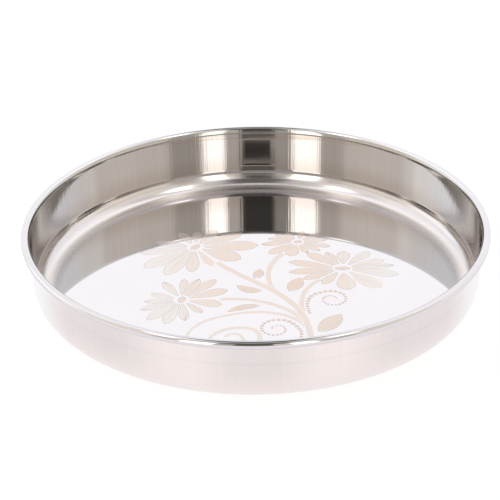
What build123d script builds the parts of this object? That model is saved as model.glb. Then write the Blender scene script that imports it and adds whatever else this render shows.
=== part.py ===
from build123d import *
import os
from math import acos, cos, degrees, radians, sin, tan

# Pressed sheet, in millimetres and degrees
overall_diameter = 300.0
overall_height = 44.0
sheet_thickness = 0.7
rim_diameter = 5.0      # outside of the rolled edge
rim_slit = 0.4          # between the sheet's cut edge, rolled under, and the wall
wall_draft = 2.6        # lean of the wall from upright
corner_radius = 12.0    # inside, between floor and wall

# Ornament on the floor
film_thickness = 0.05
eye_clearance = 1.6     # bare steel between an eye and the feet of its petals
petal_foot_width = 1.6
petal_gap = 0.5         # bare steel round a petal that lies over its neighbours
stem_gap = 0.5          # bare steel between a stem and the branches that leave it
vein_width = 0.9        # bare slit along a leaf's vein
vein_share = 0.7        # how far the slit runs along the leaf
bead_diameters = (2.0, 3.0, 1.5)    # first, largest and last bead of a row
bead_peak = 0.3         # where in the row the largest bead lies
bead_gap = 0.75         # bare steel between the beads of a row
bead_sides = 12
tail_widths = (1.5, 0.9)            # of the plain line that ends a row of beads
tail_points = 6

# Handles of the curves along a petal's or a leaf's side: shares of its length and half width
petal_neck = (0.35, 0.7)
petal_shoulder = (0.80, 1.85)
leaf_neck = (0.25, 1.33)
leaf_shoulder = (0.70, 1.33)
band_stations = 1.5     # places along each side of a band for each point of its middle line

# Flower heads: middle, eye (length, width, turn) and petals (heading, reach, width).
# A flower's over petals lie on top of its under petals.
flowers = {
    "back_left": {
        "middle": (-41, 47),
        "eye": (9.0, 5.5, 62),
        "over": ((2, 43, 13.8), (32, 38, 10), (88, 22, 6.5), (-168, 38, 9), (-116, 43, 11), (-66, 30, 6)),
        "under": ((60, 28, 8), (118, 24, 8), (164, 29, 8), (-140, 44, 12), (-93, 35, 9), (-31, 36, 14)),
    },
    "left": {
        "middle": (-48, -24),
        "eye": (8.0, 5.0, 76),
        "over": ((22, 32, 9), (68, 29, 6.5), (119, 27, 6.5), (185, 24, 6), (230, 33, 8), (276, 27, 6.5)),
        "under": (
            (50, 34, 8), (88, 27, 6), (158, 22, 6), (206, 29, 6),
            (252, 32, 8), (308, 22, 5.5), (344, 27, 9),
        ),
    },
    "back": {
        "middle": (28.5, 52.5),
        "eye": (6.0, 4.0, 10),
        "over": ((38, 20, 5.5), (118, 16, 5), (165, 21, 5), (-140, 26, 8), (-70, 17, 5), (-18, 23, 6)),
        "under": ((10, 21, 5.5), (76, 16, 5), (143, 19, 5.5), (187, 25, 6), (-106, 21, 9), (-43, 20, 5)),
    },
    "right": {
        "middle": (57, 14.5),
        "eye": (10.0, 5.0, 2),
        "over": (
            (6, 35, 6.5), (50, 30, 8), (113, 25, 6), (164, 37, 8.2),
            (-173, 36, 8), (-124, 25, 7), (-48, 36, 13),
        ),
        "under": ((22, 31, 7), (85, 24, 9), (135, 32, 8.5), (-152, 30, 7), (-86, 29, 12.6), (-14, 38, 9.5)),
    },
}

# Stems: the points that their middle lines run through, with the first and last width
main_stem = (
    (
        (-26, 25), (-14.1, 11.2), (-0.4, -2.4), (10.2, -13), (19.4, -25.2), (26.7, -38.3),
        (31, -53), (33, -68), (33.2, -90),
    ),
    (4.2, 4.1),
)
branch_stems = {
    "back_stem": (((18.5, 36), (10, 20), (8, 4), (10, -9), (18, -22)), (3.6, 3.0)),
    "right_stem": (((42, 0), (33, -12), (29, -28), (31, -50)), (3.0, 3.0)),
    "left_stem": (
        (
            (-23, -24), (-13, -24.1), (-3.7, -25.6), (3.8, -28.2), (10.4, -31.5), (17, -36.3),
            (22.7, -42), (31, -57),
        ),
        (3.2, 3.4),
    ),
    "front_tendril": (
        ((-45, -84), (-43, -67), (-36, -54.5), (-20, -45), (0, -41), (17, -45), (31, -60)),
        (1.8, 3.0),
    ),
}

# Front scroll: a flattened curl, given like a stem
front_scroll = (
    (
        (8, -103), (4, -90), (1.6, -78), (1.4, -69), (-2.6, -62.2), (-9.5, -60), (-17.5, -61.2),
        (-24.3, -65), (-28.3, -70.5), (-29, -77), (-25, -83), (-17.5, -85.5), (-11, -83), (-8.6, -77),
        (-9.6, -70.6), (-13, -67.2), (-17, -67.8), (-19.8, -71),
    ),
    (3.6, 2.2),
)

# Beaded scrolls: points that lead in, the spiral's middle, where it starts and how far it turns, its
# outer and inner radius and its lateness, which is over 1 where it closes late
beaded_scrolls = {
    "right_beaded_scroll": (
        ((33.6, -43), (32.4, -35), (32.9, -27.5), (36, -20.8)), (48.4, -25.9), 126, -480, 11.1, 2.8, 1.0,
    ),
    "front_beaded_scroll": (
        ((25.6, -80), (27.4, -71.5), (27.2, -64.5)), (12.1, -62.0), 17, 523, 12.8, 2.4, 0.9,
    ),
}
beaded_shares = {"right_beaded_scroll": 0.82, "front_beaded_scroll": 0.94}
scroll_step = 30        # degrees from point to point of a spiral

# Leaves: foot, tip, and how far the left side, the right side and the vein bow from the line between
leaves = {
    "upper_leaf": ((-0.9, 2.2), (2.7, 15.3), 2.8, 4.3, -1.4),
    "left_leaf": ((4.6, -13.6), (-13.0, -6.0), 6.6, 0.9, 2.4),
    "middle_leaf": ((21.5, -15.5), (29.0, 3.0), 4.8, 5.4, -2.8),
    "lower_left_leaf": ((3.0, -33.0), (-18.6, -40.4), 1.2, 5.2, -1.6),
    "front_leaf": ((38.5, -66.5), (53.5, -45.0), 6.0, 6.4, -3.2),
}

floor_plane = Plane.XY.offset(sheet_thickness)


def spot(origin, heading, along, aside):
    """Point that lies along a heading from origin, and aside to its left."""
    ahead = Vector(cos(radians(heading)), sin(radians(heading)))
    left = Vector(-ahead.Y, ahead.X)
    return Vector(origin) + ahead * along + left * aside


def petal(flower, heading, reach, width, grow=0.0, mode=Mode.ADD):
    """One petal: slender at its foot, widest past the middle, pointed at its tip."""
    foot = flower["eye"][0] / 2 + eye_clearance - grow
    length = reach + grow - foot
    half_width = width / 2 + grow
    half_foot = petal_foot_width / 2 + grow
    tip = spot(flower["middle"], heading, foot + length, 0)
    with BuildLine() as outline:
        for side in (1, -1):
            start = spot(flower["middle"], heading, foot, side * half_foot)
            handles = [
                spot(flower["middle"], heading, foot + along * length, side * aside * half_width)
                for along, aside in (petal_neck, petal_shoulder)
            ]
            Bezier(start, *handles, tip)
        Line(*[spot(flower["middle"], heading, foot, side * half_foot) for side in (1, -1)])
    make_face(outline.edges(), mode=mode)


def band(points, widths, grow=0.0, mode=Mode.ADD):
    """Flat band along a smooth line through points, from the first width to the last."""
    with BuildLine() as middle:
        Spline(*points)
    line = middle.edges()[0]
    stations = round(band_stations * len(points))
    sides = ([], [])
    for station in range(stations + 1):
        share = station / stations
        half_width = (widths[0] + (widths[1] - widths[0]) * share) / 2 + grow
        leftward = (line % share).rotate(Axis.Z, 90)
        sides[0].append(line @ share + leftward * half_width)
        sides[1].append(line @ share - leftward * half_width)
    with BuildLine() as outline:
        Spline(*sides[0])
        Spline(*sides[1])
        Line(sides[0][0], sides[1][0])
        Line(sides[0][-1], sides[1][-1])
    make_face(outline.edges(), mode=mode)


def scroll_points(lead, middle, start, turn, outer_radius, inner_radius, lateness):
    """Points of a scroll: those that lead in, then a spiral that closes on its middle."""
    steps = round(abs(turn) / scroll_step)
    points = list(lead)
    for step in range(steps + 1):
        share = step / steps
        radius = outer_radius - (outer_radius - inner_radius) * share**lateness
        points.append(spot(middle, start + turn * share, radius, 0))
    return points


def bead_diameter(share):
    """Beads swell from the first to the largest, then shrink to the last."""
    first, largest, last = bead_diameters
    if share < bead_peak:
        return first + (largest - first) * share / bead_peak
    return largest + (last - largest) * (share - bead_peak) / (1 - bead_peak)


def leaf(foot, tip, left_bulge, right_bulge, vein_aside):
    """Leaf with two bulging sides, slit from its foot along a vein."""
    run = Vector(tip) - Vector(foot)
    heading = Vector(1, 0).get_signed_angle(run, Vector(0, 0, 1))
    length = run.length
    with BuildLine() as outline:
        for bulge in (left_bulge, -right_bulge):
            neck = spot(foot, heading, leaf_neck[0] * length, leaf_neck[1] * bulge)
            shoulder = spot(foot, heading, leaf_shoulder[0] * length, leaf_shoulder[1] * bulge)
            Bezier(foot, neck, shoulder, tip)
    make_face(outline.edges())
    vein_end = spot(foot, heading, vein_share * length, vein_aside)
    vein_bend = spot(foot, heading, vein_share * length / 2, vein_aside)
    band((Vector(foot), vein_bend, vein_end), (vein_width, vein_width / 3), mode=Mode.SUBTRACT)


def keep(piece, name):
    """Labels a finished piece and writes it under its name."""
    piece.part.label = name
    export_step(piece.part, f"parts/{name}.step")


os.makedirs("parts", exist_ok=True)

# Pan: both faces of the sheet are drawn from the axis out along the floor, up the wall and round
# the rim, joined by the sheet's cut edge and turned about the axis
rim_radius = rim_diameter / 2
rim_middle = Vector(overall_diameter / 2 - rim_radius, overall_height - rim_radius)
wall_rise = Vector(sin(radians(wall_draft)), cos(radians(wall_draft)))
wall_inward = Vector(-wall_rise.Y, wall_rise.X)
rim_roll = 360 - degrees(acos((rim_radius - sheet_thickness - rim_slit) / rim_radius))

with BuildPart() as pan:
    with BuildSketch(Plane.XZ) as section:
        with BuildLine():
            cut_edge = []
            for depth in (0, sheet_thickness):
                floor_height = sheet_thickness - depth
                wall_top = rim_middle + wall_inward * (rim_radius - depth)
                wall_foot_radius = wall_top.X - (wall_top.Y - floor_height) * tan(radians(wall_draft))
                wall_foot = (wall_foot_radius, floor_height)
                FilletPolyline((0, floor_height), wall_foot, wall_top, radius=corner_radius + depth)
                roll = JernArc(wall_top, wall_rise, rim_radius - depth, -rim_roll)
                cut_edge.append(roll @ 1)
            Line(*cut_edge)
            Line((0, 0), (0, sheet_thickness))
        make_face()
    revolve(axis=Axis.Z)
keep(pan, "pan")

# Flower heads: a ring of petals and an eye each
for place, flower in flowers.items():
    with BuildPart() as petals:
        with BuildSketch(floor_plane):
            for heading, reach, width in flower["under"]:
                petal(flower, heading, reach, width)
            for heading, reach, width in flower["over"]:
                petal(flower, heading, reach, width, petal_gap, Mode.SUBTRACT)
            for heading, reach, width in flower["over"]:
                petal(flower, heading, reach, width)
        extrude(amount=film_thickness)
    keep(petals, f"{place}_flower_petals")

    eye_length, eye_width, eye_turn = flower["eye"]
    with BuildPart() as eye:
        with BuildSketch(floor_plane):
            with Locations(flower["middle"]):
                Ellipse(eye_length / 2, eye_width / 2, rotation=eye_turn)
        extrude(amount=film_thickness)
    keep(eye, f"{place}_flower_eye")

# Stems: a branch stops a line's width short of the main stem and of the branches before it
with BuildPart() as stem:
    with BuildSketch(floor_plane):
        band(*main_stem)
    extrude(amount=film_thickness)
keep(stem, "main_stem")

laid_stems = [main_stem]
for name, branch_stem in branch_stems.items():
    with BuildPart() as branch:
        with BuildSketch(floor_plane):
            band(*branch_stem)
            for laid_stem in laid_stems:
                band(*laid_stem, stem_gap, Mode.SUBTRACT)
        extrude(amount=film_thickness)
    keep(branch, name)
    laid_stems.append(branch_stem)

# Scrolls: one plain, the others as rows of beads that end in a plain line
with BuildPart() as scroll:
    with BuildSketch(floor_plane):
        band(*front_scroll)
    extrude(amount=film_thickness)
keep(scroll, "front_scroll")

for name, beaded_scroll in beaded_scrolls.items():
    with BuildLine() as scroll_line:
        Spline(*scroll_points(*beaded_scroll))
    row = scroll_line.edges()[0]
    beaded_length = beaded_shares[name] * row.length
    run = 0.0
    with BuildPart() as beads:
        with BuildSketch(floor_plane):
            while run < beaded_length:
                diameter = bead_diameter(run / beaded_length)
                with Locations(row.position_at(run, PositionMode.LENGTH)):
                    RegularPolygon(diameter / 2, bead_sides)
                run += diameter + bead_gap
            tail_step = (row.length - run) / (tail_points - 1)
            tail_places = [run + point * tail_step for point in range(tail_points)]
            band([row.position_at(place, PositionMode.LENGTH) for place in tail_places], tail_widths)
        extrude(amount=film_thickness)
    keep(beads, name)

# Leaves, clear of the stems beside them
for name, blade_shape in leaves.items():
    with BuildPart() as blade:
        with BuildSketch(floor_plane):
            leaf(*blade_shape)
            for laid_stem in laid_stems:
                band(*laid_stem, stem_gap, Mode.SUBTRACT)
        extrude(amount=film_thickness)
    keep(blade, name)
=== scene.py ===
# %% [markdown]
# # A steel thali with a frosted flower spray
#
# The plate is one disc of stainless sheet, pressed into a low pan with its edge rolled under, and a
# spray of flowers is frosted onto its floor. The frame holds it at its real size, and each step below
# gives one of its pieces the surface that the real plate shows.

# %% Load the frame
import math

import bmesh
import bpy
import numpy
from mathutils import Matrix, Vector


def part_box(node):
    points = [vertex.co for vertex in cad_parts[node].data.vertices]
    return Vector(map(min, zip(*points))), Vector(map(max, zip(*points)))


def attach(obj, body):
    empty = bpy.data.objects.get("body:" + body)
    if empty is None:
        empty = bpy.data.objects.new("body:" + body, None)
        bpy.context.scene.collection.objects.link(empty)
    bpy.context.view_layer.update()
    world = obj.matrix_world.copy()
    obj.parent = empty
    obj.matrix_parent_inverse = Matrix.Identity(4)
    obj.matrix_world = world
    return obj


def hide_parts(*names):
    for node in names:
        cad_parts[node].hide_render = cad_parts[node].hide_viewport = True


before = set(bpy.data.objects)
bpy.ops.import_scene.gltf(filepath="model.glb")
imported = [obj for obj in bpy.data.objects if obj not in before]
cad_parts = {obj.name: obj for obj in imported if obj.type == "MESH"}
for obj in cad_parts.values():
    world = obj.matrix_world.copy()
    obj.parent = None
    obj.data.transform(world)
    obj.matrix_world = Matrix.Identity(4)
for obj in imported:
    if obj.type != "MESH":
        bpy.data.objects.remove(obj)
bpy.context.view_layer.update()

MM = 0.001

# %% [markdown]
# ## Shader maths as plain sums
#
# A finish is a tree of nodes. It could be wired by hand, node by node, but then a sum of three numbers
# takes ten lines. A small class wraps a socket instead: an operator on it adds one Math node, and one
# method adds any other node, sets it up and feeds its sockets.


# %% Sockets that can be added and multiplied
class Wire:
    """One output socket of a node tree, for use in sums. With no socket it is only a tree to start from."""

    def __init__(self, tree, socket=None):
        self.tree = tree
        self.socket = socket

    def node(self, kind, settings=None, inputs=None, output=0):
        """Adds a node, sets it up, feeds its sockets and returns one of its outputs."""
        node = self.tree.nodes.new(kind)
        for name, value in (settings or {}).items():
            setattr(node, name, value)
        for name, value in (inputs or {}).items():
            if isinstance(value, Wire):
                self.tree.links.new(value.socket, node.inputs[name])
            else:
                node.inputs[name].default_value = value
        return Wire(self.tree, node.outputs[output] if node.outputs else None)

    def out(self, output):
        """Another output of the same node."""
        return Wire(self.tree, self.socket.node.outputs[output])

    def math(self, operation, *values):
        """One Math node on values or other sockets."""
        return self.node("ShaderNodeMath", {"operation": operation}, dict(enumerate(values)))

    def __add__(self, other):
        return self.math("ADD", self, other)

    def __radd__(self, other):
        return self.math("ADD", other, self)

    def __sub__(self, other):
        return self.math("SUBTRACT", self, other)

    def __rsub__(self, other):
        return self.math("SUBTRACT", other, self)

    def __mul__(self, other):
        return self.math("MULTIPLY", self, other)

    def __rmul__(self, other):
        return self.math("MULTIPLY", other, self)

    def __truediv__(self, other):
        return self.math("DIVIDE", self, other)

    def __pow__(self, other):
        return self.math("POWER", self, other)

    def __abs__(self):
        return self.math("ABSOLUTE", self)

    def rise(self, low, high):
        """0 below low, 1 above high and a smooth climb between them."""
        limits = {"Value": self, "From Min": low, "From Max": high}
        return self.node("ShaderNodeMapRange", {"interpolation_type": "SMOOTHSTEP"}, limits)

    def between(self, low, high, blur):
        """1 between two values and 0 outside them, with blurred edges."""
        return self.rise(low - blur, low + blur) * (1 - self.rise(high - blur, high + blur))

    def mix(self, low_colour, high_colour):
        """A colour from low_colour, where this value is 0, to high_colour, where it is 1."""
        inputs = {0: self}
        for place, colour in ((6, low_colour), (7, high_colour)):
            inputs[place] = colour if isinstance(colour, Wire) else (*colour, 1.0)
        return self.node("ShaderNodeMix", {"data_type": "RGBA"}, inputs, output=2)


# %% One material from a description
def new_finish(name, describe):
    """A material with one shader, whose sockets get what describe gives them."""
    material = bpy.data.materials.new(name)
    material.use_nodes = True
    material.node_tree.nodes.clear()
    start = Wire(material.node_tree)
    shader = start.node("ShaderNodeBsdfPrincipled", inputs=describe(start))
    start.node("ShaderNodeOutputMaterial", inputs={"Surface": shader})
    print("finish", name, "has", len(material.node_tree.nodes), "nodes")
    return material


# %% [markdown]
# ## Where marks lie on a turned wall
#
# Polishing wheels run round a pan, so its marks follow the turn and not the room. The Object
# coordinates become a heading round the axis, a radius and a height, and a noise that is squeezed
# along one of them draws lines that are long along the other.


# %% Coordinates and marks of a turned surface
def on_piece(start):
    """The place on the piece, in metres."""
    return start.node("ShaderNodeTexCoord", output="Object")


def turned(start):
    """Heading round the axis as the two sides of a unit vector, radius and height, in metres."""
    x = start.node("ShaderNodeSeparateXYZ", inputs={0: on_piece(start)})
    y, height = x.out(1), x.out(2)
    radius = (x * x + y * y) ** 0.5
    return x / radius, y / radius, radius, height


def marks(start, coordinates, detail=3.0):
    """Soft noise from 0 to 1 on three coordinates, each already scaled to marks in a metre or in a turn."""
    spot = start.node("ShaderNodeCombineXYZ", inputs=dict(enumerate(coordinates)))
    sharpness = {"Vector": spot, "Scale": 1.0, "Detail": detail, "Roughness": 0.6}
    return start.node("ShaderNodeTexNoise", inputs=sharpness)


def cloud(start, scale, detail):
    """Soft noise from 0 to 1 that is alike all ways."""
    sharpness = {"Vector": on_piece(start), "Scale": scale, "Detail": detail}
    return start.node("ShaderNodeTexNoise", inputs=sharpness)


def duller(tint, share):
    """A tint with each of its parts brought down to a share."""
    return tuple(share * part for part in tint)


# %% [markdown]
# ## Mirror floor
#
# The whole pan is the same stainless sheet, so one metal could serve. But each stretch of it is worked
# in another way, and each gets its own finish: metal with the tint that it shows, and roughness from
# the marks on it. The floor is buffed to a clear mirror with a breath of haze. The buff lifts before
# it meets the corner, so the floor's edge stays satin.

# %% Mirror floor
FLOOR_TINT = (0.850, 0.828, 0.858)
BUFFED_RADIUS = 127.5 * MM
BUFF_FADE = 1.5 * MM


def mirror_floor(start):
    """Buffed floor: a clear mirror with a breath of haze, and satin at its edge where the buff lifts."""
    across, along, radius, _ = turned(start)
    haze = cloud(start, 28.0, 4.0)
    hairs = marks(start, (across * 3.0, along * 3.0, radius * 2600.0))
    satin = radius.rise(BUFFED_RADIUS - BUFF_FADE, BUFFED_RADIUS + BUFF_FADE)
    dullness = 0.1 * haze.rise(0.3, 0.8) + 0.9 * satin
    return {
        "Base Color": dullness.mix(FLOOR_TINT, duller(FLOOR_TINT, 0.84)),
        "Metallic": 1.0,
        "Roughness": 0.012 + 0.014 * haze + 0.01 * hairs + 0.25 * satin,
    }


floor_finish = new_finish("mirror_floor", mirror_floor)

# %% [markdown]
# ## Polished wall
#
# Inside, the wheel leaves fine upright streaks on the wall. Towards the foot the wall's tint is
# darker, as painted shade. Streaks could be colour alone, but in a mirror they also bend what it
# shows, so that the edge of a light looks ragged. They go into the tint, the roughness and a shallow bump.

# %% Polished wall
WALL_TINT = (0.540, 0.535, 0.530)
FOOT_SHADE_TINT = (0.470, 0.445, 0.420)
WORN_SHARE = 0.95
FOOT_SHADE_FADE = (11.0 * MM, 27.0 * MM)
STREAK_DEPTH = 0.04 * MM


def polished_wall(start):
    """Wall inside: polished, with fine upright streaks, and painted shade that darkens it near its foot."""
    across, along, _, height = turned(start)
    lines = marks(start, (across * 4.0, along * 4.0, height * 5200.0))
    streaks = marks(start, (across * 120.0, along * 120.0, height * 2.0), detail=5.0)
    patches = marks(start, (across * 9.0, along * 9.0, height)).rise(0.35, 0.65)
    relief = {"Strength": 1.0, "Distance": STREAK_DEPTH, "Height": streaks * (0.35 + 0.65 * patches)}
    # Painted shade: the tint darkens towards the wall's foot.
    reach = height.rise(*FOOT_SHADE_FADE)
    worn = reach.mix(duller(FOOT_SHADE_TINT, WORN_SHARE), duller(WALL_TINT, WORN_SHARE))
    return {
        "Base Color": streaks.rise(0.3, 0.6).mix(worn, reach.mix(FOOT_SHADE_TINT, WALL_TINT)),
        "Metallic": 1.0,
        "Roughness": 0.004 + 0.008 * lines + 0.008 * streaks,
        "Normal": start.node("ShaderNodeBump", inputs=relief),
    }


wall_finish = new_finish("polished_wall", polished_wall)

# %% [markdown]
# ## Satin corner
#
# A wheel is too stiff for the corner between floor and wall and only skims it, so it keeps a soft
# satin from the press. It could share the wall's finish, but then it would mirror the lights sharply.
# Its own finish is roughest low down, and passes into the wall's painted foot shade at its upper end.

# %% Satin corner
CORNER_TINT = (0.725, 0.699, 0.716)
TURN_TINT = (0.850, 0.800, 0.790)
TURN_RING = (1.4 * MM, 2.4 * MM)
TURN_FADE = (1.2 * MM, 4.0 * MM)
SATIN_FADE = (6.0 * MM, 12.5 * MM)
FOOT_FADE = (6.5 * MM, 12.5 * MM)


def satin_corner(start):
    """Corner inside: the wheel only skims it, so it keeps a soft satin from the press."""
    across, along, radius, height = turned(start)
    rings = marks(start, (across * 4.0, along * 4.0, (radius + height) * 2400.0))
    streaks = marks(start, (across * 150.0, along * 150.0, height * 12.0))
    depth = 1 - height.rise(*SATIN_FADE)
    lowest = 1 - height.rise(*TURN_RING)
    # Painted shade: towards its upper end the corner takes the wall's darker foot tint.
    clear = 1 - height.rise(*FOOT_FADE)
    face = (clear * (0.9 + 0.1 * streaks.rise(0.25, 0.75))).mix(FOOT_SHADE_TINT, CORNER_TINT)
    return {
        "Base Color": height.rise(*TURN_FADE).mix(TURN_TINT, face),
        "Metallic": 1.0,
        "Roughness": 0.02 + 0.11 * depth + 0.10 * lowest + 0.03 * rings + 0.02 * streaks,
    }


corner_finish = new_finish("satin_corner", satin_corner)

# %% [markdown]
# ## Polished rim
#
# The rolled rim is what hands and shelves touch. It could be as clear as the floor, but its crown is
# a little worn. It is darker where it curls under, as painted shade, and on its outer side at the
# front, as a painted dark reflection. Masks by height, reach and heading part the two tints.

# %% Polished rim
RIM_TINT = (0.802, 0.797, 0.822)
CURL_SHADE_TINT = (0.728, 0.702, 0.730)
RIM_SHEEN = (0.93, 0.91, 0.93, 1.0)
RIM_MIDDLE = 41.5 * MM
RIM_REACH = 147.5 * MM
RIM_FADE = 0.8 * MM


def polished_rim(start):
    """Rolled rim: a close mirror, a little worn along its crown, with painted shade under it and at the
    front.
    """
    across, along, radius, height = turned(start)
    wear = marks(start, (across * 60.0, along * 60.0, height * 900.0))
    # Painted shade: below its middle height the rim takes the darker curl tint.
    crown = height.rise(RIM_MIDDLE - RIM_FADE / 2, RIM_MIDDLE + RIM_FADE)
    # Painted dark reflection on the rim's outer side at the front.
    front = 1 - along.rise(-0.55, -0.15)
    painted_front_shade = radius.rise(RIM_REACH - RIM_FADE, RIM_REACH + RIM_FADE) * front
    clear = crown * (1 - 0.85 * painted_front_shade) * (0.8 + 0.2 * wear.rise(0.3, 0.8))
    return {
        "Base Color": clear.mix(CURL_SHADE_TINT, RIM_TINT),
        "Specular Tint": RIM_SHEEN,
        "Metallic": 1.0,
        "Roughness": 0.04 + 0.05 * wear,
    }


rim_finish = new_finish("polished_rim", polished_rim)

# %% [markdown]
# ## Brushed outside and underside
#
# The outside is brushed round the pan and never buffed, so it shows broad soft light and no picture.
# A faint darker ring runs round it, and painted reflections lighten it in two bands to each side of
# the front, low down and at its far sides. The underside is brushed in rings about the middle. Both are
# rough metal, and fine lines along the brush carry their tone.

# %% Brushed outside and underside
OUTSIDE_TINT = (0.908, 0.838, 0.834)
FLANK_REFLECTION_TINT = (0.915, 0.905, 0.940)
LOW_REFLECTION_FADE = (4.0 * MM, 24.0 * MM)
DARK_RING = 26.5 * MM
DARK_RING_HALF = 0.6 * MM
DARK_RING_BLUR = 1.2 * MM


def satin_outside(start):
    """Outside of the wall: brushed round the pan, with painted reflections and one faint darker ring."""
    across, along, _, height = turned(start)
    lines = marks(start, (across * 5.0, along * 5.0, height * 3800.0))
    streaks = marks(start, (across * 150.0, along * 150.0, height * 15.0))
    # Painted reflections: two lighter bands to each side of the front, and bluish-white far sides.
    painted_sheen = abs(across).between(0.16, 0.46, 0.12)
    flank_reflection = abs(across).rise(0.78, 0.97)
    # Painted reflection: the tint is lighter low down.
    low = 1 - height.rise(*LOW_REFLECTION_FADE)
    # One faint darker ring at a fixed height.
    ring = height.between(DARK_RING - DARK_RING_HALF, DARK_RING + DARK_RING_HALF, DARK_RING_BLUR)
    tone = 0.64 * painted_sheen + 0.5 * low * (1 - painted_sheen) + 0.12 * lines + 0.4 * streaks - 0.2 * ring
    brushed = tone.mix(duller(OUTSIDE_TINT, 0.81), OUTSIDE_TINT)
    return {
        "Base Color": flank_reflection.mix(brushed, FLANK_REFLECTION_TINT),
        "Metallic": 1.0,
        "Roughness": 0.2 + 0.08 * lines,
    }


def satin_underside(start):
    """Underside: brushed in rings about the middle."""
    across, along, radius, _ = turned(start)
    rings = marks(start, (across * 2.0, along * 2.0, radius * 2200.0))
    return {
        "Base Color": rings.rise(0.2, 0.8).mix(duller(OUTSIDE_TINT, 0.86), OUTSIDE_TINT),
        "Metallic": 1.0,
        "Roughness": 0.25 + 0.12 * rings,
    }


underside_finish = new_finish("satin_underside", satin_underside)
outside_finishes = [
    new_finish("satin_outside_" + stretch, satin_outside)
    for stretch in ("corner", "wall", "rim")
]

# %% [markdown]
# ## The pan
#
# A press draws the disc into a pan and a roller turns its edge under. In Blender it could be a
# cylinder with an inset floor, but a mirror shows every facet, so the pan is turned instead. One
# point is extruded along the floor, spun round the corner, drawn up the wall, spun over a lip where
# the wall opens into the rim, and spun round the rim. That line is spun about the axis, and Solidify
# gives it the sheet's thickness.

# %% Sizes of the pressed sheet
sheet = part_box("main_stem")[0].z
rim_radius = 2.5 * MM
rim_slit = 0.4 * MM
wall_draft = math.radians(1.8)
corner_radius = 12.0 * MM
lip_radius = 6.0 * MM
lip_turn = math.radians(33)


def inward(tilt):
    """The way that the sheet's inner face looks where it leans by tilt."""
    return Vector((-math.cos(tilt), 0, math.sin(tilt)))


pan_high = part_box("pan")[1]
rim_middle = Vector((pan_high.x - rim_radius, 0, pan_high.z - rim_radius))
lip_middle = rim_middle + (rim_radius - lip_radius) * inward(wall_draft + lip_turn)
wall_top = lip_middle + lip_radius * inward(wall_draft)
corner_turn = math.pi / 2 - wall_draft
wall_foot_radius = wall_top.x - (wall_top.z - sheet) * math.tan(wall_draft)
floor_radius = wall_foot_radius - corner_radius * math.tan(corner_turn / 2)
corner_middle = Vector((floor_radius, 0, sheet + corner_radius))
rim_roll = 2 * math.pi - math.acos((rim_radius - sheet - rim_slit) / rim_radius) - lip_turn
print("flat floor", round(floor_radius / MM, 2), "mm in radius, rim rolled by", round(math.degrees(rim_roll)))


# %% One line from the axis to the rolled edge
def line_end():
    """The selected end of the line that is being drawn."""
    points = bmesh.from_edit_mesh(bpy.context.edit_object.data).verts
    return next(point.co.copy() for point in points if point.select)


def draw_to(x, z):
    """Extrudes the line's end straight to a place in the upright plane through the axis."""
    bpy.ops.mesh.extrude_region_move(TRANSFORM_OT_translate={"value": Vector((x, 0, z)) - line_end()})


CORNER_STEPS, WALL_STEPS, LIP_STEPS, RIM_STEPS, TURN_STEPS = 18, 6, 8, 40, 320
FLOOR_RINGS = (0.5, 0.96, 0.995, 1.0)

bpy.ops.object.select_all(action="DESELECT")
bpy.ops.mesh.primitive_plane_add(size=sheet)
pan = bpy.context.object
pan.name = "steel_pan"
bpy.ops.object.mode_set(mode="EDIT")
bpy.ops.mesh.select_all(action="SELECT")
bpy.ops.mesh.merge(type="CENTER")
bpy.ops.transform.translate(value=(0, 0, sheet))
for ring in FLOOR_RINGS:
    draw_to(ring * floor_radius, sheet)
bpy.ops.mesh.spin(steps=CORNER_STEPS, angle=corner_turn, center=corner_middle, axis=(0, 1, 0))
wall_foot = line_end()
for step in range(1, WALL_STEPS + 1):
    mark = wall_foot.lerp(wall_top, step / WALL_STEPS)
    draw_to(mark.x, mark.z)
bpy.ops.mesh.spin(steps=LIP_STEPS, angle=-lip_turn, center=lip_middle, axis=(0, 1, 0))
lip_end = line_end()
bpy.ops.mesh.spin(steps=RIM_STEPS, angle=-rim_roll, center=rim_middle, axis=(0, 1, 0))
print("line ends at", [round(part / MM, 2) for part in line_end()], "mm")

# %% Turned about the axis
SEAM_REACH = 1e-6

bpy.ops.mesh.select_all(action="SELECT")
bpy.ops.mesh.spin(steps=TURN_STEPS, angle=2 * math.pi, center=(0, 0, 0), axis=(0, 0, 1))
bpy.ops.mesh.select_all(action="SELECT")
bpy.ops.mesh.remove_doubles(threshold=SEAM_REACH)
bpy.ops.mesh.normals_make_consistent(inside=False)
middle_face = min(bmesh.from_edit_mesh(pan.data).faces, key=lambda face: face.calc_center_median().length)
if middle_face.normal.z < 0:
    bpy.ops.mesh.flip_normals()
bpy.ops.object.mode_set(mode="OBJECT")
print("turned sheet has", len(pan.data.polygons), "faces")

# %% [markdown]
# ## Finishes by place, and the sheet's thickness
#
# The finishes meet where the tools meet: at the floor's edge, the wall's foot and the lip's end. They
# could be parted by masks in one shader, but four slots are clearer. Solidify then grows the outer
# side of the sheet, and its material offset gives each stretch of that side the finish it has outside.

# %% Finishes by place, and the sheet's thickness
FLOOR, CORNER, WALL, RIM = range(4)
CREASE = math.radians(40)

inner_finishes = [floor_finish, corner_finish, wall_finish, rim_finish]
for finish in inner_finishes + [underside_finish] + outside_finishes:
    pan.data.materials.append(finish)
for face in pan.data.polygons:
    reach = face.center.xy.length
    if reach < floor_radius:
        face.material_index = FLOOR
    elif face.center.z < wall_foot.z:
        face.material_index = CORNER
    elif face.center.z < lip_end.z and reach < lip_end.x:
        face.material_index = WALL
    else:
        face.material_index = RIM

thickness = pan.modifiers.new("sheet", "SOLIDIFY")
thickness.thickness = sheet
thickness.offset = -1
thickness.use_even_offset = True
thickness.material_offset = len(inner_finishes)
thickness.material_offset_rim = 0
bpy.ops.object.modifier_apply(modifier=thickness.name)
bpy.ops.object.shade_smooth_by_angle(angle=CREASE)

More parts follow.
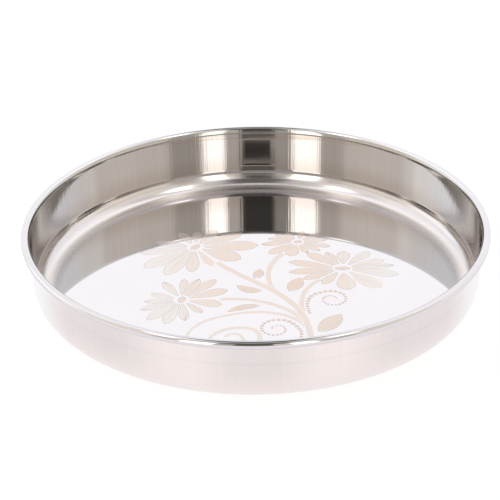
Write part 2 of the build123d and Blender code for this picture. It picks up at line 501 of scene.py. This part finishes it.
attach(pan, "root")
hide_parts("pan")
print("pan:", len(pan.data.polygons), "faces,", [round(side / MM, 2) for side in pan.dimensions], "mm")

# %% [markdown]
# ## Frosted films
#
# The ornament is a tinted frosting, too thin to measure. It could be painted by the pan's shader, but
# then its edges would need dozens of formulas. The frame has each motif as a thin film of the right
# outline, so a copy of that film is the start: its triangles are merged into whole faces, it is
# pressed flatter so that no side shows, and each motif is parted from its neighbours.

# %% Films, parted into motifs
FLATTER = 0.2
FILM_SEAM_REACH = 1e-7
FLAT_WITHIN = math.radians(1)


def make_active(piece):
    """Selects one object alone, so that operators act on it."""
    bpy.ops.object.select_all(action="DESELECT")
    piece.select_set(True)
    bpy.context.view_layer.objects.active = piece


def film_copy(node, name):
    """A free copy of a film from the frame, merged, with its flat sides whole, as separate motifs."""
    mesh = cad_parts[node].data.copy()
    mesh.materials.clear()
    copy = bpy.data.objects.new(name, mesh)
    bpy.context.collection.objects.link(copy)
    make_active(copy)
    bpy.ops.mesh.customdata_custom_splitnormals_clear()
    bpy.ops.object.shade_flat()
    bpy.ops.object.mode_set(mode="EDIT")
    bpy.ops.mesh.select_all(action="SELECT")
    bpy.ops.mesh.remove_doubles(threshold=FILM_SEAM_REACH)
    bpy.ops.mesh.dissolve_limited(angle_limit=FLAT_WITHIN)
    bpy.ops.transform.resize(value=(1, 1, FLATTER), center_override=(0, 0, sheet))
    bpy.ops.mesh.separate(type="LOOSE")
    bpy.ops.object.mode_set(mode="OBJECT")
    return list(bpy.context.selected_objects)


# %% [markdown]
# ## A darker line along each edge
#
# Frosting pools at its edge, so each motif has a thin darker outline. An inset by the line's width
# could draw it, but on a narrow stem the two sides would cross. So a hair's inset makes the inner
# ring, and each of its points is then pushed in by the line's width, or less where there is less room.

# %% A darker line along each edge
HAIR = 0.002 * MM
SLENDER_SHARE = 0.3
FULL_DEPTH_SHARE = 1.5
FACING_UP = 0.9
OPEN_WAY = 1.0
PARALLEL = 1e-9
TOUCHING = 1e-6


def room_inside(ring, ways):
    """How far each point of an outline can go its own way before it meets the outline again."""
    sides = numpy.roll(ring, -1, axis=0) - ring
    offsets = ring[None, :, :] - ring[:, None, :]
    way_x, way_y = ways[:, 0:1], ways[:, 1:2]
    slant = way_x * sides[None, :, 1] - way_y * sides[None, :, 0]
    slant = numpy.where(abs(slant) < PARALLEL, PARALLEL, slant)
    travel = (offsets[..., 0] * sides[None, :, 1] - offsets[..., 1] * sides[None, :, 0]) / slant
    share = (offsets[..., 0] * way_y - offsets[..., 1] * way_x) / slant
    meets = (travel > TOUCHING) & (share >= 0) & (share <= 1)
    for point in range(len(ring)):
        meets[point, point] = meets[point, point - 1] = False
    return numpy.where(meets, travel, OPEN_WAY).min(axis=1)


def line_edge(motif, width):
    """Insets a motif's upper face, less where it is slender, and notes which points lie on its edge."""
    make_active(motif)
    bpy.ops.object.mode_set(mode="EDIT")
    bpy.ops.mesh.select_mode(type="FACE")
    bpy.ops.mesh.select_all(action="DESELECT")
    for face in bmesh.from_edit_mesh(motif.data).faces:
        face.select_set(face.normal.z > FACING_UP)
    bmesh.update_edit_mesh(motif.data)
    bpy.ops.mesh.inset(thickness=HAIR, depth=0, use_even_offset=False)
    shape = bmesh.from_edit_mesh(motif.data)
    shape.verts.ensure_lookup_table()
    top = next(face for face in shape.faces if face.select)
    partners = [
        next(edge.other_vert(point) for edge in point.link_edges if not edge.other_vert(point).select)
        for point in top.verts
    ]
    ring = numpy.array([partner.co.xy for partner in partners])
    ways = numpy.array([point.co.xy for point in top.verts]) - ring
    ways /= numpy.linalg.norm(ways, axis=1, keepdims=True)
    pushes = numpy.minimum(width, SLENDER_SHARE * room_inside(ring, ways))
    for point, place in zip(top.verts, ring + ways * pushes[:, None]):
        point.co.xy = place
    depths = dict(zip(partners, numpy.minimum(1.0, FULL_DEPTH_SHARE * pushes / width)))
    depths = [0.0 if point.select else float(depths.get(point, 1.0)) for point in shape.verts]
    bmesh.update_edit_mesh(motif.data)
    bpy.ops.object.mode_set(mode="OBJECT")
    edge = motif.data.attributes.new("edge", "FLOAT", "POINT")
    edge.data.foreach_set("value", depths)


# %% [markdown]
# ## Grain, and one film from its motifs
#
# A petal's fine lines run from its flower's eye to its tip. A noise on Object coordinates would run
# the same way in every petal, so each motif gets a UV map of its own, along and across its length.
# The dressed motifs are then joined again, and the film takes the place of its node.


# %% Grain, and one film from its motifs
def grain_from(motif, root):
    """A UV map that runs from a root to the motif's tip: 0 to 1 along it, and as far aside."""
    reach = max((point.co.xy - root for point in motif.data.vertices), key=lambda way: way.length)
    grain = motif.data.uv_layers.new(name="grain")
    for loop in motif.data.loops:
        way = motif.data.vertices[loop.vertex_index].co.xy - root
        along = way.dot(reach) / reach.length_squared
        aside = reach.cross(way) / reach.length_squared
        grain.data[loop.index].uv = (along, aside)


def film_piece(node, edge_width, finish, root=None):
    """One film of the ornament, dressed: edges, grain, finish, and its place in the frame."""
    name = node + "_film"
    motifs = film_copy(node, name)
    for motif in motifs:
        line_edge(motif, edge_width)
        spots = [point.co.xy for point in motif.data.vertices]
        grain_from(motif, root if root is not None else min(spots, key=lambda spot: spot.y))
    make_active(motifs[0])
    for motif in motifs:
        motif.select_set(True)
    bpy.ops.object.join()
    piece = bpy.context.object
    piece.name = name
    piece.data.materials.append(finish)
    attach(piece, "root")
    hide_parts(node)
    print(name, "has", len(motifs), "motifs and", len(piece.data.polygons), "faces")


# %% [markdown]
# ## Frosting
#
# Frosting scatters light where the bare floor mirrors it, so over a bright reflection it looks beige,
# and over a dark one it looks like a pale veil. A part-metal shader does both: some of the light is
# mirrored, softly, and the rest is scattered in the frosting's own tint. The tint is warm near the
# middle of the spray and greyer towards its sides.

# %% Frosting
SPRAY_MIDDLE = (8.0 * MM, 4.0 * MM)
SPRAY_FADE = (25.0 * MM, 85.0 * MM)
DEPTH_WEIGHT = 0.5
FROST_MIRROR = 0.75
MIDRIB_HALF, MIDRIB_BLUR = 0.008, 0.006


def spray_warmth(start):
    """1 in the middle of the spray, 0 at its sides."""
    x = start.node("ShaderNodeSeparateXYZ", inputs={0: on_piece(start)})
    offset_x, offset_y = x - SPRAY_MIDDLE[0], x.out(1) - SPRAY_MIDDLE[1]
    distance = (offset_x * offset_x + offset_y * offset_y * DEPTH_WEIGHT) ** 0.5
    return 1 - distance.rise(*SPRAY_FADE)


def frosting(start, tints, fibre_depth, edge_shade):
    """Frosting of a warm and a pale tint, streaked along the motif's grain and darker along its edge."""
    warm, pale = tints
    warmth = spray_warmth(start)
    grain = start.node("ShaderNodeUVMap", {"uv_map": "grain"})
    along = start.node("ShaderNodeSeparateXYZ", inputs={0: grain})
    aside = along.out(1)
    fibres = marks(start, (along * 2.0, aside * 60.0, warmth))
    midrib = aside.between(-MIDRIB_HALF, MIDRIB_HALF, MIDRIB_BLUR) * along.between(0.35, 0.75, 0.1)
    speckle = cloud(start, 1500.0, 2.0)
    edge = start.node("ShaderNodeAttribute", {"attribute_name": "edge"}, output="Fac").rise(0.0, 0.8)
    depth = fibre_depth * (fibres.rise(0.25, 0.8) + midrib) + 0.12 * speckle + 0.85 * edge
    light = warmth.mix(pale, warm)
    dark = warmth.mix(duller(pale, edge_shade), duller(warm, edge_shade))
    return {
        "Base Color": depth.mix(light, dark),
        "Metallic": FROST_MIRROR,
        "Roughness": 0.03 + 0.04 * speckle,
    }


# %% Frosted finishes
PETAL_TINTS = ((0.860, 0.730, 0.655), (0.885, 0.842, 0.828))
STEM_TINTS = ((0.850, 0.742, 0.680), (0.842, 0.778, 0.745))
LEAF_TINTS = ((0.830, 0.680, 0.590), (0.825, 0.727, 0.670))
BEAD_TINTS = ((0.790, 0.640, 0.545), (0.780, 0.680, 0.625))

petal_frosting = new_finish("petal_frosting", lambda start: frosting(start, PETAL_TINTS, 0.26, 0.73))
stem_frosting = new_finish("stem_frosting", lambda start: frosting(start, STEM_TINTS, 0.1, 0.64))
leaf_frosting = new_finish("leaf_frosting", lambda start: frosting(start, LEAF_TINTS, 0.15, 0.70))
bead_frosting = new_finish("bead_frosting", lambda start: frosting(start, BEAD_TINTS, 0.1, 0.72))

# %% [markdown]
# ## Flowers, stems, scrolls and leaves
#
# Each flower is a ring of petals round an eye, and the petals' grain starts at that eye. Stems are
# frosted like the petals with a bolder edge, leaves and eyes are frosted deeper, and beads deepest.
# They could be one film with one finish, but each kind has its own depth and width of line.

# %% Flowers
PETAL_EDGE = 0.7 * MM
EYE_EDGE = 0.5 * MM
for flower in ("back_left", "left", "back", "right"):
    eye_low, eye_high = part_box(flower + "_flower_eye")
    eye_middle = ((eye_low + eye_high) / 2).xy
    film_piece(flower + "_flower_petals", PETAL_EDGE, petal_frosting, eye_middle)
    film_piece(flower + "_flower_eye", EYE_EDGE, leaf_frosting, eye_middle)

# %% Stems, scrolls and leaves
STEM_EDGE = 0.7 * MM
LEAF_EDGE = 0.5 * MM
for node in ("main_stem", "back_stem", "right_stem", "left_stem", "front_tendril", "front_scroll"):
    film_piece(node, STEM_EDGE, stem_frosting)
for node in ("right_beaded_scroll", "front_beaded_scroll"):
    film_piece(node, LEAF_EDGE, bead_frosting)
for node in ("upper_leaf", "left_leaf", "middle_leaf", "lower_left_leaf", "front_leaf"):
    film_piece(node, LEAF_EDGE, leaf_frosting)

# %% [markdown]
# ## White table
#
# The plate stands on a white table. More light could make the table white, but it would fall on the
# plate as well. So the paper is a mid grey that takes the plate's soft shadow, and it glows only for
# the eye and in reflections.

# %% White table
TABLE_SIZE = 8.0
PAPER = 0.18
GLOW = 0.880


def white_paper(name):
    """White that glows for the eye and in reflections, so that it stays white and takes a soft shadow."""
    material = bpy.data.materials.new(name)
    material.use_nodes = True
    material.node_tree.nodes.clear()
    start = Wire(material.node_tree)
    camera_ray = start.node("ShaderNodeLightPath", output="Is Camera Ray")
    seen = camera_ray + camera_ray.out("Is Glossy Ray") + camera_ray.out("Is Transmission Ray")
    paper = start.node("ShaderNodeBsdfDiffuse", inputs={"Color": (PAPER, PAPER, PAPER, 1.0)})
    glow = start.node("ShaderNodeEmission", inputs={"Color": GLOW * seen.rise(0.0, 1.0), "Strength": 1.0})
    both = start.node("ShaderNodeAddShader", inputs={0: paper, 1: glow})
    start.node("ShaderNodeOutputMaterial", inputs={"Surface": both})
    return material


bpy.ops.object.select_all(action="DESELECT")
bpy.ops.mesh.primitive_plane_add(size=TABLE_SIZE)
table = bpy.context.object
table.name = "white_table"
table.data.materials.append(white_paper("table_white"))
print("table is", TABLE_SIZE, "m wide")

# %% [markdown]
# ## The room, by direction
#
# Two upright soft lights stand beside the camera, with a dark gap between them and a pale room round
# them. They could be lamps and panels, but polished steel mirrors the whole room, so the room itself
# is the light: a world that is painted by direction, from the walls to what stands before them.
# Directions are in degrees. The heading runs from the camera's side, positive to the right, and the
# height from level. Over climbs from the camera's side across the zenith and down behind the plate,
# and aside is how far right of that arc a direction lies. Side and outward count headings both ways,
# from the middle of the room and from the middle of the high lights.

# %% Directions in the room
ROOM_MIDDLE = 4.0
HIGH_MIDDLE = -4.0

world = bpy.data.worlds.new("studio")
bpy.context.scene.world = world
world.use_nodes = True
world.node_tree.nodes.clear()
start = Wire(world.node_tree)
direction = start.node("ShaderNodeTexCoord", output="Generated")
rightward = start.node("ShaderNodeSeparateXYZ", inputs={0: direction})
nearer, upward = 0.0 - rightward.out(1), rightward.out(2)


def in_degrees(angle):
    """An angle's socket, brought from radians to degrees."""
    return angle * (180 / math.pi)


heading = in_degrees(rightward.math("ARCTAN2", rightward, nearer))
height = in_degrees(rightward.math("ARCSINE", upward))
over = in_degrees(rightward.math("ARCTAN2", upward, nearer))
aside = in_degrees(rightward.math("ARCSINE", rightward))
side = abs(heading - ROOM_MIDDLE)
outward = abs(heading - HIGH_MIDDLE)
print("directions:", len(world.node_tree.nodes), "nodes")

# %% [markdown]
# ## Pale walls
#
# A studio's walls are pale, but not evenly so: they brighten to the sides and behind, and a ledge and
# two panels shade them. They could be modelled round the plate, but only their brightness shows in
# steel, so each is a place in the sums below. Three numbers are a span and its blur, and two are a
# fade, all in degrees.

# %% Pale walls
LOW_HEIGHTS = (24, 28)
LEFT_STRIP = (-130, -92, 4)
UPPER_LEFT = (-95, -30, 5)
BACK_SIDES = (100, 150, 8)
LEDGE_SIDES, LEDGE_HEIGHTS = (46, 96, 4), (24.6, 28.6, 0.6)
RIGHT_PANEL, LEFT_PANEL = (29, 46, 2.5), (-48, -36, 2.5)
PANEL_TOPS = (36, 46)
CEILING = 0.70


def blend(below, above, mask):
    """One brightness laid over another where a mask says so."""
    return below * (1 - mask) + above * mask


low = 1 - height.rise(*LOW_HEIGHTS)
front = 1 - side.rise(82, 98)
room = 0.84 + 0.06 * side.rise(54, 70) + 0.16 * side.rise(86, 92) + 0.04 * side.rise(94, 115)
room = room + 0.04 * low * front + 0.25 * low * heading.between(*LEFT_STRIP)
room = room + 0.08 * (1 - low) * heading.between(*UPPER_LEFT)
room = room + 0.08 * side.between(*BACK_SIDES) * height.rise(30, 36)
room = room * (1 - 0.32 * side.between(*LEDGE_SIDES) * height.between(*LEDGE_HEIGHTS))
room = blend(room, CEILING, (1 - side.rise(88, 112)) * height.rise(42, 60))
panels = (0.30 + 0.10 * low) * heading.between(*RIGHT_PANEL) + 0.25 * heading.between(*LEFT_PANEL)
room = room * (1 - panels * (1 - height.rise(*PANEL_TOPS)))
print("pale walls:", len(world.node_tree.nodes), "nodes")

# %% [markdown]
# ## High lights and the dark gap
#
# High on each side a light leans outwards, and it shows at the ends of the polished wall. In the
# middle, where the camera stands, the room is dark, and the steel shows that as an upright dark band.
# Grey stands flank it, and beams cross above it. They are laid over the walls one by one.

# %% High lights on both sides
HIGH_LIGHT = 2.2
HIGH_HEADINGS = (48, 84, 4)
HIGH_SLOPE, HIGH_HEADING, HIGH_HEIGHT = 0.55, 61, 57
HIGH_BAND = (-7, 7, 4)
HIGH_FOOT = (46, 53)

above_slope = height - HIGH_HEIGHT - HIGH_SLOPE * (outward - HIGH_HEADING)
high_lights = outward.between(*HIGH_HEADINGS) * (above_slope.between(*HIGH_BAND) * height.rise(*HIGH_FOOT))
room = blend(room, HIGH_LIGHT, high_lights)
print("with the high lights:", len(world.node_tree.nodes), "nodes")

# %% Dark gap in the middle
RIGHT_STAND, LEFT_STAND = (6, 17, 1.5), (-21, -9, 1.5)
LINTEL_HEADINGS, LINTEL_HEIGHTS = (-24, 20, 3), (46, 62, 3)
NEAR_BEAM, FAR_BEAM, BEAM_ASIDE = (44, 78, 2), (92, 128, 2), (-9, 9.5, 4)
GAP = (-10.5, 7.6, 0.8)

below_lights = 1 - height.rise(60, 70)
room = blend(room, 0.70, heading.between(*RIGHT_STAND) * below_lights)
room = blend(room, 0.40 + 0.16 * low, heading.between(*LEFT_STAND) * below_lights)
room = blend(room, 0.20, heading.between(*LINTEL_HEADINGS) * height.between(*LINTEL_HEIGHTS))
room = blend(room, 0.11, aside.between(*BEAM_ASIDE) * (over.between(*NEAR_BEAM) + over.between(*FAR_BEAM)))
darkness = 0.065 + 0.07 * height.rise(36, 46) + 0.13 * low
room = blend(room, darkness, heading.between(*GAP) * below_lights)
print("with the dark gap:", len(world.node_tree.nodes), "nodes")

# %% Dark card with a pale edge, low in the gap
CARD_EDGE_HEADINGS, CARD_EDGE_HEIGHTS = (-10.8, 7.9, 0.4), (20.75, 22.05, 0.02)
CARD_HEADINGS, CARD_HEIGHTS = (-8.6, 6.2, 0.4), (21.16, 21.82, 0.02)

edge_tone = 0.50 - 0.16 * height.rise(21.3, 21.7)
room = blend(room, edge_tone, heading.between(*CARD_EDGE_HEADINGS) * height.between(*CARD_EDGE_HEIGHTS))
room = blend(room, 0.055, heading.between(*CARD_HEADINGS) * height.between(*CARD_HEIGHTS))
print("with the card:", len(world.node_tree.nodes), "nodes")

# %% [markdown]
# ## Soft lights, and the warmth of the room
#
# The two soft lights are the brightest things in the room, so they come last and cover the rest. The
# room in front of the plate is a little warmer than the white behind it. That could be a second world,
# but red up and blue down by a mask is enough. The camera itself sees plain white.

# %% Soft lights, and the warmth of the room
SOFT_LIGHT = 2.35
SOFT_RIGHT, SOFT_LEFT = (15.8, 27.3, 0.5), (-34.6, -20, 0.5)
SOFT_TOPS = (35, 47)
RED_UP, BLUE_DOWN = 0.095, 0.13

soft_lights = heading.between(*SOFT_RIGHT) + heading.between(*SOFT_LEFT)
room = blend(room, SOFT_LIGHT, soft_lights * (1 - height.rise(*SOFT_TOPS)))
camera_ray = start.node("ShaderNodeLightPath", output="Is Camera Ray")
shown = blend(room, 1.0, camera_ray)
facing = (1 - side.rise(70, 130)) * (1 - 0.5 * height.rise(28, 45))
warmth = facing * (1 - 0.35 * shown.rise(1.8, 2.2)) * (1 - camera_ray)
tinted = {0: shown * (1 + RED_UP * warmth), 1: shown, 2: shown * (1 - BLUE_DOWN * warmth)}
colour = start.node("ShaderNodeCombineColor", inputs=tinted)
glow = start.node("ShaderNodeBackground", inputs={"Color": colour, "Strength": 1.0})
start.node("ShaderNodeOutputWorld", inputs={"Surface": glow})
print("studio has", len(world.node_tree.nodes), "nodes")

# %% [markdown]
# ## Camera
#
# The photograph looks down at the plate from its front. A camera could be aimed by eye, but the rim's
# and the base's ellipses fix the viewing angle, the distance and the lens, so it is set by those values.

# %% Camera
CAMERA_PLACE = (0.0, -0.99504, 0.56093)
CAMERA_TURN, CAMERA_TILT, CAMERA_ROLL = 0.219, 61.615, -0.852
CAMERA_LENS = 125.75

bpy.ops.object.select_all(action="DESELECT")
bpy.ops.object.camera_add()
camera = bpy.context.object
camera.name = "camera"
camera.data.lens = CAMERA_LENS
turn, tilt, roll = (
    Matrix.Rotation(math.radians(angle), 4, axis)
    for angle, axis in ((CAMERA_TURN, "Z"), (CAMERA_TILT, "X"), (CAMERA_ROLL, "Z"))
)
camera.matrix_world = Matrix.Translation(CAMERA_PLACE) @ turn @ tilt @ roll
bpy.context.scene.camera = camera
bpy.context.scene.view_settings.view_transform = "Standard"
print("camera is", round(Vector(CAMERA_PLACE).length, 3), "m from the plate's foot")
